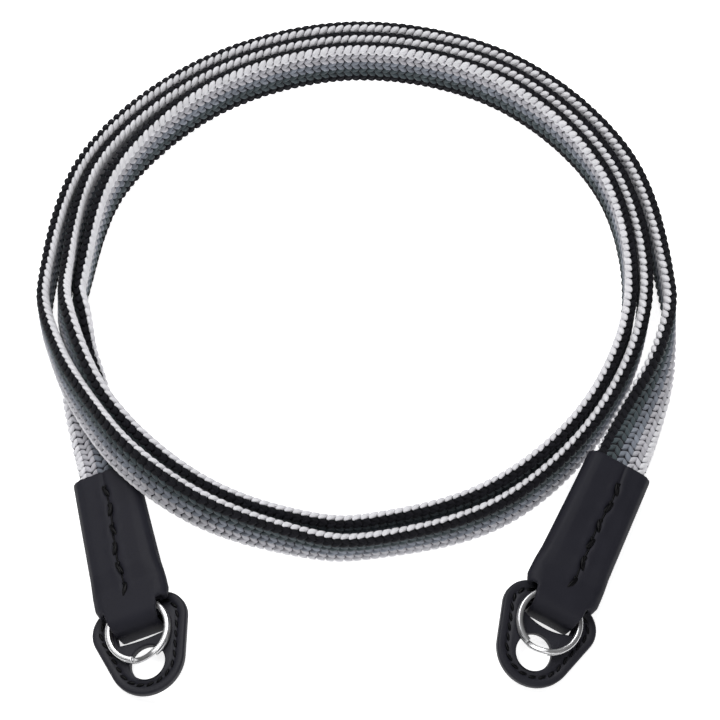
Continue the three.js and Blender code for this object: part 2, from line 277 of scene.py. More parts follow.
class Repeat:
    """Geometry Nodes that set a yarn shape on each point of a mesh.

    Each point has the attributes run, the way the shape points, up, its outer side, and size, its scale.
    """

    def __init__(self) -> None:
        """Builds the tree and its named inputs."""
        group = bpy.data.node_groups.new("repeat_yarn", "GeometryNodeTree")
        face = group.interface
        face.new_socket("Geometry", in_out="INPUT", socket_type="NodeSocketGeometry")
        self.inputs: dict[str, str] = {}
        for name, kind in (("Length", "Float"), ("Width", "Float"), ("Height", "Float"), ("Taper", "Float"),
                           ("Point", "Float"), ("Unevenness", "Float"), ("Segments", "Int"),
                           ("Rings", "Int"), ("Seed", "Int"), ("Material", "Material")):
            socket = face.new_socket(name, in_out="INPUT", socket_type="NodeSocket" + kind)
            self.inputs[name] = socket.identifier
        face.new_socket("Geometry", in_out="OUTPUT", socket_type="NodeSocketGeometry")
        self.group = group
        t = Tree(group)
        given = t.add("NodeGroupInput").outputs
        ball = t.add("GeometryNodeMeshUVSphere",
                     {"Segments": given["Segments"], "Rings": given["Rings"], "Radius": 0.5})
        mapped = t.add("GeometryNodeStoreNamedAttribute",
                       {"Geometry": ball.outputs["Mesh"], "Name": "UVMap", "Value": ball.outputs["UV Map"]},
                       data_type="FLOAT2", domain="CORNER")
        lying = t.add("GeometryNodeTransform",
                      {"Geometry": mapped.outputs[0], "Rotation": (0, math.pi / 2, 0)})
        place = t.add("ShaderNodeSeparateXYZ", {0: t.add("GeometryNodeInputPosition").outputs[0]}).outputs
        slimmer = t.math("SUBTRACT", 1.0, t.math("MULTIPLY", place["X"], given["Taper"]))
        ends = t.math("MULTIPLY", t.math("POWER", place["X"], 2.0), 4.0)
        pointed = t.math("SUBTRACT", 1.0, t.math("MULTIPLY", ends, given["Point"]))
        narrowing = t.math("MULTIPLY", slimmer, pointed)
        shape = t.add("ShaderNodeCombineXYZ", {
            "X": t.math("MULTIPLY", place["X"], given["Length"]),
            "Y": t.math("MULTIPLY", t.math("MULTIPLY", place["Y"], narrowing), given["Width"]),
            "Z": t.math("MULTIPLY", t.math("MULTIPLY", place["Z"], narrowing), given["Height"]),
        })
        leaf = t.add("GeometryNodeSetPosition", {"Geometry": lying.outputs[0], "Position": shape.outputs[0]})
        turn = t.add("FunctionNodeAxesToRotation",
                     {0: t.named("up", "FLOAT_VECTOR"), 1: t.named("run", "FLOAT_VECTOR")},
                     primary_axis="Z", secondary_axis="X")
        uneven = t.add("FunctionNodeRandomValue", {"Seed": given["Seed"]}, data_type="FLOAT")
        spread = t.math("MULTIPLY", t.math("SUBTRACT", uneven.outputs[1], 0.5), given["Unevenness"])
        placed = t.add("GeometryNodeInstanceOnPoints", {
            "Points": given["Geometry"],
            "Instance": leaf.outputs[0],
            "Rotation": turn.outputs[0],
            "Scale": t.scaled(t.named("size", "FLOAT_VECTOR"), t.math("ADD", 1.0, spread)),
        })
        tinted = t.add("GeometryNodeStoreNamedAttribute",
                       {"Geometry": placed.outputs[0], "Name": "tone", "Value": uneven.outputs[1]},
                       data_type="FLOAT", domain="INSTANCE")
        real = t.add("GeometryNodeRealizeInstances", {"Geometry": tinted.outputs[0]})
        smooth = t.add("GeometryNodeSetShadeSmooth", {"Geometry": real.outputs[0]})
        made = t.add("GeometryNodeSetMaterial",
                     {"Geometry": smooth.outputs[0], "Material": given["Material"]})
        t.add("NodeGroupOutput", {0: made.outputs[0]})

    def make(self, name: str, shape: Shape, material: Material, seed: int, places: np.ndarray,
             run: np.ndarray, up: np.ndarray, size: np.ndarray | None = None) -> Object:
        """Sets the shape on every place and makes the result a plain mesh.

        Args:
            name: The piece's name.
            shape: The shape.
            material: What it is made of.
            seed: The seed of the copies' sizes and tones.
            places: Where the copies sit, one row each.
            run: The way each one points.
            up: The outer side of each one.
            size: The scale of each one along, across and out, if they differ.

        Returns:
            The finished piece.
        """
        mesh = bpy.data.meshes.new(name)
        mesh.from_pydata([tuple(p) for p in places], [], [])
        if size is None:
            size = np.ones((len(places), 3))
        for label, vectors in (("run", run), ("up", up), ("size", size)):
            mesh.attributes.new(label, "FLOAT_VECTOR", "POINT").data.foreach_set(
                "vector", np.asarray(vectors, np.float32).ravel())
        obj = linked(name, mesh)
        modifier = obj.modifiers.new("repeat", "NODES")
        modifier.node_group = self.group
        others = {"Seed": seed, "Material": material}
        for label, key in self.inputs.items():
            modifier[key] = others[label] if label in others else getattr(shape, label.lower())
        return applied(obj)


# Finishes


# Leather's creases against its pores
CREASE_SCALE = 0.14
CREASE_HEIGHT = 3.0


def grain_group() -> NodeTree:
    """Makes fine leather grain as a height, with named inputs for its scale and its creases.

    Returns:
        The shader group.
    """
    group = bpy.data.node_groups.new("leather_grain", "ShaderNodeTree")
    for name, value in (("Scale", 1.0), ("Crease", 0.3)):
        socket = group.interface.new_socket(name, in_out="INPUT", socket_type="NodeSocketFloat")
        socket.default_value = value
    group.interface.new_socket("Height", in_out="OUTPUT", socket_type="NodeSocketFloat")
    t = Tree(group)
    given = t.add("NodeGroupInput").outputs
    place = t.add("ShaderNodeTexCoord").outputs["Object"]
    pores = t.add("ShaderNodeTexVoronoi", {"Vector": place, "Scale": given["Scale"]}, feature="F1")
    creases = t.add("ShaderNodeTexNoise", {
        "Vector": place,
        "Scale": t.math("MULTIPLY", given["Scale"], CREASE_SCALE),
        "Detail": 4.0,
        "Distortion": 1.2,
    })
    rise = t.math("MULTIPLY", t.math("MULTIPLY", creases.outputs[0], given["Crease"]), CREASE_HEIGHT)
    total = t.math("ADD", pores.outputs[0], rise)
    t.add("NodeGroupOutput", {0: total})
    return group


def tone_group() -> NodeTree:
    """Makes slow patches of tone between 0 and 1, with a named input for their scale.

    Returns:
        The shader group.
    """
    group = bpy.data.node_groups.new("slow_tone", "ShaderNodeTree")
    socket = group.interface.new_socket("Scale", in_out="INPUT", socket_type="NodeSocketFloat")
    socket.default_value = 100.0
    group.interface.new_socket("Tone", in_out="OUTPUT", socket_type="NodeSocketFloat")
    t = Tree(group)
    given = t.add("NodeGroupInput").outputs
    place = t.add("ShaderNodeTexCoord").outputs["Object"]
    noise = t.add("ShaderNodeTexNoise", {"Vector": place, "Scale": given["Scale"], "Detail": 3.0})
    t.add("NodeGroupOutput", {0: noise.outputs[0]})
    return group


def principled(name: str) -> tuple[Material, Tree, Node]:
    """Makes a new material.

    Args:
        name: The material's name.

    Returns:
        The material, its tree and its shader.
    """
    material = bpy.data.materials.new(name)
    material.use_nodes = True
    return material, Tree(material.node_tree), material.node_tree.nodes["Principled BSDF"]


def mixed(t: Tree, factor: object, low: Colour, high: Colour) -> NodeSocket:
    """A colour between two, by a factor."""
    node = t.add("ShaderNodeMix", {0: factor, "A": (*low, 1.0), "B": (*high, 1.0)}, data_type="RGBA")
    return next(s for s in node.outputs if s.type == "RGBA")


def about(t: Tree, middle: float, spread: float, tone: NodeSocket) -> NodeSocket:
    """A value that a tone moves up and down about its middle."""
    return t.math("ADD", middle - spread / 2, t.math("MULTIPLY", tone, spread))


@dataclass(frozen=True)
class YarnFinish:
    """Matt braiding yarn of one colour, with the run of its fibres."""

    name: str
    colour: Colour
    spread: float = 0.22
    own_share: float = 0.6
    patches: float = 260.0
    fibres: float = 9.0
    ridge: float = 0.35
    ridge_depth: float = 0.05 * MM
    roughness: float = 0.8
    sheen: float = 0.12
    gloss: float = 0.2

    def build(self, tone: NodeTree) -> Material:
        """Makes the material.

        Args:
            tone: The shared group of slow tone.

        Returns:
            The yarn's material.
        """
        material, t, shader = principled(self.name)
        own = t.add("ShaderNodeAttribute", attribute_name="tone").outputs["Fac"]
        slow = t.add("ShaderNodeGroup", {"Scale": self.patches}, node_tree=tone).outputs[0]
        blend = t.math("ADD", t.math("MULTIPLY", own, self.own_share),
                       t.math("MULTIPLY", slow, 1 - self.own_share))
        low = tuple(c * (1 - self.spread) for c in self.colour)
        high = tuple(min(c * (1 + self.spread), 1.0) for c in self.colour)
        uv = t.add("ShaderNodeUVMap", uv_map="UVMap").outputs[0]
        across = t.add("ShaderNodeSeparateXYZ", {0: uv}).outputs["X"]
        wave = t.math("SINE", t.math("MULTIPLY", across, self.fibres * 2 * math.pi))
        bump = t.add("ShaderNodeBump",
                     {"Strength": self.ridge, "Distance": self.ridge_depth, "Height": wave})
        t.fill(shader, {
            "Base Color": mixed(t, blend, low, high),
            "Normal": bump.outputs[0],
            "Roughness": self.roughness,
            "Sheen Weight": self.sheen,
            "Specular IOR Level": self.gloss,
        })
        return material


@dataclass(frozen=True)
class CoreFinish:
    """The inside of the braid, seen between its yarns, coloured with painted shade: much darkened copies of
    the yarns' colours.
    """

    name: str = "braid_core"
    # Painted shade for the holes between the stitches, under the black yarns and under the white ones
    dark: Colour = (0.004, 0.004, 0.006)
    light: Colour = (0.06, 0.06, 0.07)
    roughness: float = 0.9
    gloss: float = 0.1

    def build(self) -> Material:
        """Makes the material, which reads the attribute shade: painted shade, darker under the dark yarns and
        lighter under the light ones.

        Returns:
            The core's material.
        """
        material, t, shader = principled(self.name)
        shade = t.add("ShaderNodeAttribute", attribute_name="shade").outputs["Fac"]
        t.fill(shader, {
            "Base Color": mixed(t, shade, self.dark, self.light),
            "Roughness": self.roughness,
            "Specular IOR Level": self.gloss,
        })
        return material


@dataclass(frozen=True)
class LeatherFinish:
    """Black leather with a fine grain."""

    name: str
    colour: Colour
    light: Colour
    roughness: float
    scale: float
    depth: float
    gloss: float = 0.25
    grain: float = 0.5
    patches: float = 160.0
    unevenness: float = 0.16

    def build(self, grain: NodeTree, tone: NodeTree) -> Material:
        """Makes the material.

        Args:
            grain: The shared group of leather grain.
            tone: The shared group of slow tone.

        Returns:
            The leather's material.
        """
        material, t, shader = principled(self.name)
        slow = t.add("ShaderNodeGroup", {"Scale": self.patches}, node_tree=tone).outputs[0]
        skin = t.add("ShaderNodeGroup", {"Scale": self.scale}, node_tree=grain).outputs[0]
        bump = t.add("ShaderNodeBump", {"Strength": self.grain, "Distance": self.depth, "Height": skin})
        t.fill(shader, {
            "Base Color": mixed(t, slow, self.colour, self.light),
            "Roughness": about(t, self.roughness, self.unevenness, slow),
            "Normal": bump.outputs[0],
            "Specular IOR Level": self.gloss,
        })
        return material


@dataclass(frozen=True)
class SteelFinish:
    """Polished spring steel with faint scratches."""

    name: str = "ring_steel"
    colour: Colour = (0.66, 0.66, 0.67)
    roughness: float = 0.36
    scratches: float = 1500.0
    unevenness: float = 0.1

    def build(self, tone: NodeTree) -> Material:
        """Makes the material.

        Args:
            tone: The shared group of slow tone.

        Returns:
            The steel's material.
        """
        material, t, shader = principled(self.name)
        slow = t.add("ShaderNodeGroup", {"Scale": self.scratches}, node_tree=tone).outputs[0]
        t.fill(shader, {
            "Base Color": (*self.colour, 1.0),
            "Roughness": about(t, self.roughness, self.unevenness, slow),
            "Metallic": 1.0,
        })
        return material


@dataclass(frozen=True)
class FloorFinish:
    """A pale tabletop that is lit so evenly that little shadow shows on it."""

    name: str = "pale_table"
    colour: Colour = (0.9, 0.9, 0.9)
    glow: float = 0.75
    roughness: float = 0.95

    def build(self) -> Material:
        """Makes the material.

        Returns:
            The table's material.
        """
        material, t, shader = principled(self.name)
        t.fill(shader, {
            "Base Color": (*self.colour, 1.0),
            "Roughness": self.roughness,
            "Specular IOR Level": 0.0,
            "Emission Color": (1.0, 1.0, 1.0, 1.0),
            "Emission Strength": self.glow,
        })
        return material


class Finishes:
    """All materials of the strap."""

    def __init__(self) -> None:
        """Builds the shared groups and the materials."""
        grain = grain_group()
        tone = tone_group()
        self.yarns = {colour: colour.value.build(tone) for colour in YarnColour}
        self.core = CoreFinish().build()
        self.sleeve, self.guard, self.thread = (finish.build(grain, tone) for finish in LEATHERS)
        self.steel = SteelFinish().build(tone)
        self.floor = FloorFinish().build()


class YarnColour(Enum):
    """The five yarns of the braid, from its dark edge to its light edge."""

    BLACK = YarnFinish("braid_black", (0.006, 0.006, 0.009), spread=0.3, sheen=0.02)
    SLATE = YarnFinish("braid_slate", (0.056, 0.072, 0.08), spread=0.32)
    BLUE = YarnFinish("braid_blue", (0.2, 0.218, 0.255), spread=0.32)
    SILVER = YarnFinish("braid_silver", (0.47, 0.465, 0.5), spread=0.2)
    WHITE = YarnFinish("braid_white", (0.74, 0.735, 0.765), spread=0.08)


LEATHERS = (
    LeatherFinish("sleeve_leather", (0.0095, 0.0095, 0.015), (0.0155, 0.0155, 0.023),
                  roughness=0.62, scale=2600.0, depth=0.02 * MM, gloss=0.2),
    LeatherFinish("guard_leather", (0.0105, 0.0105, 0.0155), (0.017, 0.017, 0.024),
                  roughness=0.55, scale=2200.0, depth=0.03 * MM),
    LeatherFinish("waxed_thread", (0.001, 0.001, 0.0015), (0.002, 0.002, 0.003),
                  roughness=0.45, scale=5200.0, depth=0.02 * MM, gloss=0.12),
)


# The braid


@dataclass
class Route:
    """The band's middle line from its right end to its left end, as stations."""

    centre: np.ndarray
    across: np.ndarray
    run: np.ndarray

    @classmethod
    def of_solid(cls, node: Object, width: float) -> "Route":
        """Reads the route from the band's solid, which is a row of equal sections.

        Args:
            node: The band's solid.
            width: The band's width.

        Returns:
            The route.
        """
        bm = bmesh.new()
        bm.from_mesh(node.data)
        bmesh.ops.remove_doubles(bm, verts=bm.verts, dist=0.01 * MM)
        bm.verts.ensure_lookup_table()
        bm.normal_update()
        tip = cls._layers(bm, [bm.verts[0]])[-1][0]
        near = [v.co for layer in cls._layers(bm, [tip])[:6] for v in layer]
        inward = sum(near, Vector()) / len(near) - tip.co
        cap = min(tip.link_faces, key=lambda f: f.normal.dot(inward)).normal.copy()
        first = [v for v in bm.verts
                 if abs((v.co - tip.co).dot(cap)) < 0.03 * MM and (v.co - tip.co).length < 1.1 * width]
        layers = [np.array([v.co for v in layer]) for layer in cls._layers(bm, first)]
        bm.free()
        if layers[0][:, 0].mean() < 0:
            layers.reverse()
        centre = np.array([layer.mean(0) for layer in layers])
        across = np.array([np.linalg.svd(layer - layer.mean(0))[2][0] for layer in layers])
        middle = len(layers) // 2
        if across[middle][2] < 0:
            across[middle] *= -1
        for order in (range(middle + 1, len(layers)), range(middle - 1, -1, -1)):
            for i in order:
                before = i - 1 if i > middle else i + 1
                if across[i] @ across[before] < 0:
                    across[i] *= -1
        steps = np.linalg.norm(np.diff(centre, axis=0), axis=1)
        return cls(centre, across, np.concatenate([[0.0], np.cumsum(steps)]))

    @staticmethod
    def _layers(bm: bmesh.types.BMesh, seeds: list) -> list[list]:
        """Sorts vertices by how many edges they are away from some of them.

        Args:
            bm: The mesh.
            seeds: The vertices to start from.

        Returns:
            The vertices 0, 1, 2 and more edges away.
        """
        seen = {v.index for v in seeds}
        layers = [list(seeds)]
        while layers[-1]:
            following = []
            for vert in layers[-1]:
                for edge in vert.link_edges:
                    other = edge.other_vert(vert)
                    if other.index not in seen:
                        seen.add(other.index)
                        following.append(other)
            layers.append(following)
        return layers[:-1]

    @property
    def length(self) -> float:
        """The band's length."""
        return float(self.run[-1])

    def at(self, run: np.ndarray) -> tuple[np.ndarray, np.ndarray, np.ndarray, np.ndarray]:
        """The band's place and directions at some lengths along it.

        Args:
            run: Lengths from the right end.

        Returns:
            Its middle, its direction, the way its dark edge lies and the way its outer face looks.
        """
        run = np.clip(np.asarray(run, float), 0, self.length)
        i = np.clip(np.searchsorted(self.run, run, side="right") - 1, 0, len(self.run) - 2)
        slope = np.gradient(self.centre, self.run, axis=0)
        span = (self.run[i + 1] - self.run[i])[:, None]
        t = (run - self.run[i])[:, None] / span
        p, q, m, n = self.centre[i], self.centre[i + 1], slope[i] * span, slope[i + 1] * span
        centre = (p * (1 + 2 * t) + m * t) * (1 - t) ** 2 + (q * (3 - 2 * t) + n * (t - 1)) * t ** 2
        along = (6 * t * (t - 1) * (p - q) + m * (1 - t) * (1 - 3 * t) + n * t * (3 * t - 2)) / span
        along /= np.linalg.norm(along, axis=1, keepdims=True)
        across = self.across[i] * (1 - t) + self.across[i + 1] * t
        face = np.cross(along, across)
        face /= np.linalg.norm(face, axis=1, keepdims=True)
        return centre, along, np.cross(face, along), face


@dataclass(frozen=True)
class Leaf(Shape):
    """A leaf-shaped stitch of the braid, with its lean and how it lies in the band's surface.

    Its angles are in degrees. It stands proud of the others and is shifted round the band from its column.
    """

    length: float = 2.66 * MM
    width: float = 1.33 * MM
    height: float = 1.15 * MM
    taper: float = 0.5
    point: float = 0.2
    angle: float = 37.0
    dip: float = 8.0
    proud: float = 0.0
    shift: float = 0.0


@dataclass
class Braid:
    """The woven band: a core coloured with painted shade, with rows of leaf-shaped yarn stitches round it.

    At the back of the coil its columns are squeezed towards the inner face, as a band bends on its edge. The
    first and last rows lie hidden in the sleeves.
    """

    route: Route
    repeat: Repeat
    finishes: Finishes
    width: float = 12.0 * MM
    thickness: float = 2.9 * MM
    columns: int = 20
    pitch: float = 1.93 * MM
    crest_shift: float = 0.08 * MM
    leaf: Leaf = Leaf()
    crest_leaf: Leaf = Leaf(length=3.1 * MM, width=1.6 * MM, height=1.3 * MM, taper=0.7, angle=43.0, dip=18.0,
                            proud=0.24 * MM, shift=-0.22 * MM, point=0.5, rings=6)
    squeeze: float = 0.68 * MM
    squeeze_from: float = 3.0 * MM
    squeeze_to: float = 34.0 * MM
    hidden: float = 21.0 * MM
    sink: float = 0.42
    core_sink: float = 0.45
    core_sides: int = 24
    core_pitch: float = 2.895 * MM
    core_end: float = 0.5 * MM
    pattern: tuple[YarnColour, ...] = (
        YarnColour.BLACK, YarnColour.BLACK, YarnColour.SLATE, YarnColour.SLATE, YarnColour.BLUE,
        YarnColour.BLUE, YarnColour.SILVER, YarnColour.SILVER, YarnColour.WHITE, YarnColour.WHITE,
    )

    def outline(self, place: np.ndarray, inset: float = 0.0) -> tuple[np.ndarray, np.ndarray]:
        """Points on the band's section.

        Args:
            place: Lengths round the section from its dark crest, outer face first.
            inset: How far under the surface the points lie.

        Returns:
            The points, towards the dark edge and towards the outer face, and the ways out of the band there.
        """
        radius = self.thickness / 2
        flat = self.width - 2 * radius
        quarter = math.pi * radius / 2
        half = flat + 2 * quarter
        place = np.asarray(place, float)
        side = np.where(place % (2 * half) < half, 1.0, -1.0)[..., None]
        q = place % half
        turn = np.where(q < quarter, q, np.maximum(q - flat, quarter)) / radius
        base = flat / 2 - np.clip(q - quarter, 0.0, flat)
        out = np.stack([np.cos(turn), np.sin(turn)], axis=-1)
        middle = np.stack([base, np.zeros_like(base)], axis=-1)
        return side * (middle + (radius - inset) * out), side * out

    @property
    def girth(self) -> float:
        """Length once round the section."""
        return 2 * (self.width - self.thickness) + math.pi * self.thickness

    def yarns(self) -> None:
        """Makes the stitches, one piece for each colour and one for the light teeth on the crest."""
        count = int((self.route.length - 2 * self.hidden) / self.pitch)
        run = self.hidden + self.pitch * np.arange(count)
        centre, along, across, face = self.route.at(run)
        column_width = self.girth / self.columns
        rear = (centre[:, 1] - self.squeeze_from) / (self.squeeze_to - self.squeeze_from)
        squeeze = self.squeeze * eased(np.clip(rear, 0.0, 1.0))
        rows: dict[tuple[str, YarnColour, Leaf], list[tuple[np.ndarray, ...]]] = {}
        for column in range(self.columns):
            colour = self.pattern[column % len(self.pattern)]
            crest = column == self.columns - 1
            leaf = self.crest_leaf if crest else self.leaf
            name = "braid_crest" if crest else colour.value.name
            lean = 1 if column % 2 == 0 else -1
            tilt, dip = math.radians(leaf.angle), math.radians(leaf.dip)
            drawn = squeeze * math.cos(2 * math.pi * (column + 0.5) / self.columns)
            place = (column + 0.5) * column_width - self.crest_shift + leaf.shift - drawn
            point, out = self.outline(place, self.sink * leaf.height - leaf.proud)
            spot = centre + point[:, :1] * across + point[:, 1:] * face
            up = out[:, :1] * across + out[:, 1:] * face
            round_it = out[:, :1] * face - out[:, 1:] * across
            way = math.cos(tilt) * along + lean * math.sin(tilt) * round_it
            way = math.cos(dip) * way - math.sin(dip) * up
            rows.setdefault((name, colour, leaf), []).append((spot, way, up))
        for seed, ((name, colour, leaf), parts) in enumerate(rows.items()):
            spot, way, up = (np.concatenate([part[k] for part in parts]) for k in range(3))
            piece = self.repeat.make(name, leaf, self.finishes.yarns[colour], seed, spot, way, up)
            seat(piece, ["strap_band"])

    def core(self) -> None:
        """Makes the core under the stitches."""
        count = int(self.route.length / self.core_pitch)
        run = np.linspace(self.core_end, self.route.length - self.core_end, count)
        centre, _, across, face = self.route.at(run)
        sides = self.core_sides
        places = self.girth * np.arange(sides) / sides - self.crest_shift
        section = self.outline(places, self.core_sink * self.leaf.height)[0]
        points = np.stack([centre + u * across + n * face for u, n in section], axis=1).reshape(-1, 3)
        core = mesh_object("braid_core", points, loft_faces(count, sides))
        # The attribute shade follows the columns from the black yarns to the white ones; the core's material
        # turns it into painted shade
        shade = core.data.attributes.new("shade", "FLOAT", "POINT")
        tones = [(i % (sides // 2)) / (sides // 2) for i in range(sides)]
        shade.data.foreach_set("value", np.tile(np.array(tones, np.float32), count))
        core.data.materials.append(self.finishes.core)
        seat(core, ["strap_band"])


# The leather ends


# The corners of a section in the order of the quarters of a circle, and the seeds of the stitches
CORNERS = ((1, 1), (-1, 1), (-1, -1), (1, -1))
SEAM_SEED = 7
GUARD_SEED = 3


def arc(centre: Point2, radius: float, start: float, end: float, steps: int) -> list[Point2]:
    """Points on an arc, with angles in radians."""
    return [(centre[0] + radius * math.cos(start + (end - start) * i / steps),
             centre[1] + radius * math.sin(start + (end - start) * i / steps)) for i in range(steps + 1)]


def round_corner(centre: Point2, radius: float, quarter: int, steps: int) -> list[Point2]:
    """A quarter of a circle, by its number anticlockwise."""
    return arc(centre, radius, quarter * math.pi / 2, (quarter + 1) * math.pi / 2, steps)


def offset_loop(loop: Sequence[Point2], distance: float) -> list[Point2]:
    """A closed outline moved outwards, for one that runs anticlockwise.

    Args:
        loop: The outline's points.
        distance: How far it moves, negative for inwards.

    Returns:
        The moved outline.
    """
    points = np.array(loop)
    edge = np.roll(points, -1, axis=0) - np.roll(points, 1, axis=0)
    normal = np.stack([edge[:, 1], -edge[:, 0]], axis=1)
    normal /= np.linalg.norm(normal, axis=1, keepdims=True)
    return [tuple(p) for p in points + distance * normal]


def spaced(loop: Sequence[Point2], pitch: float) -> tuple[np.ndarray, np.ndarray]:
    """Evenly spaced points on a closed outline.

    Args:
        loop: The outline's points.
        pitch: About how far apart they are.

    Returns:
        The points and the outline's direction at each.
    """
    points = np.array([*loop, loop[0]])
    steps = np.linalg.norm(np.diff(points, axis=0), axis=1)
    run = np.concatenate([[0.0], np.cumsum(steps)])
    count = round(run[-1] / pitch)
    at = (np.arange(count) + 0.5) * run[-1] / count
    place = np.stack([np.interp(at, run, points[:, k]) for k in range(2)], axis=1)
    ahead = np.stack([np.interp((at + pitch / 20) % run[-1], run, points[:, k]) for k in range(2)], axis=1)
    way = ahead - place
    return place, way / np.linalg.norm(way, axis=1, keepdims=True)


@dataclass(frozen=True)
class Wear:
    """What differs between the two ends: how the ring and guard have slipped, and how the leather has set.

    Seam_ends is where the seam lies across the sleeve at its mouth and at its end. The slit is the gap that
    shows between the tab's tip and the lower edge of the guard's slot.
    """

    ring_slip: float
    guard_slip: float
    stitch_start: float
    seam_ends: Point2
    wide_side: int
    mouth_trim: float
    slit: float
    hole_bridge: float


WEAR = {
    Side.LEFT: Wear(ring_slip=1.4 * MM, guard_slip=0.2 * MM, stitch_start=6.6 * MM,
                    seam_ends=(0.4 * MM, -0.3 * MM), wide_side=1, mouth_trim=1.2 * MM, slit=1.2 * MM,
                    hole_bridge=3.5 * MM),
    Side.RIGHT: Wear(ring_slip=2.0 * MM, guard_slip=1.2 * MM, stitch_start=6.8 * MM,
                     seam_ends=(1.0 * MM, 0.5 * MM), wide_side=-1, mouth_trim=0.2 * MM, slit=0.2 * MM,
                     hole_bridge=2.8 * MM),
}


@dataclass(frozen=True)
class Relief:
    """The low relief along the seam: its groove, a dent at each stitch and puckers beside it."""

    groove_depth: float = 0.3 * MM
    groove_width: float = 0.32 * MM
    dent_depth: float = 0.5 * MM
    dent_length: float = 1.2 * MM
    dent_width: float = 0.6 * MM
    pucker_height: float = 0.14 * MM
    pucker_away: float = 1.3 * MM
    pucker_width: float = 0.8 * MM
    pucker_reach: float = 1.1 * MM
    pucker_least: float = 0.35
    fade: float = 2.0 * MM

    def height(self, left: float, away: float, nearest: float) -> float:
        """How far the leather's upper face is moved up at a place.

        Args:
            left: How much of the seam is still ahead.
            away: How far the place is from the seam, across it.
            nearest: How far it is from the nearest stitch, along it.

        Returns:
            The height that is added there.
        """
        groove = self.groove_depth * bell(away, self.groove_width)
        groove += self.dent_depth * bell(nearest, self.dent_length) * bell(away, self.dent_width)
        pucker = self.pucker_height * bell(abs(away) - self.pucker_away, self.pucker_width)
        pucker *= self.pucker_least + (1 - self.pucker_least) * bell(nearest, self.pucker_reach)
        return clamped(left / self.fade) * (pucker - groove)


@dataclass(frozen=True)
class Strand:
    """One strand of a seam stitch: its place from the stitch, its turn in degrees, its size and its depth."""

    ahead: float
    aside: float
    turn: float
    size: tuple[float, float, float]
    depth: float


STRANDS = (
    Strand(ahead=-0.25 * MM, aside=-0.2 * MM, turn=14.0, size=(1.1, 0.72, 0.9), depth=0.16 * MM),
    Strand(ahead=0.2 * MM, aside=0.2 * MM, turn=20.0, size=(1.1, 0.72, 0.9), depth=0.14 * MM),
    Strand(ahead=-1.3 * MM, aside=0.05 * MM, turn=-22.0, size=(0.5, 0.6, 0.7), depth=0.24 * MM),
    Strand(ahead=2.2 * MM, aside=0.0, turn=4.0, size=(1.2, 0.36, 0.45), depth=0.24 * MM),
)


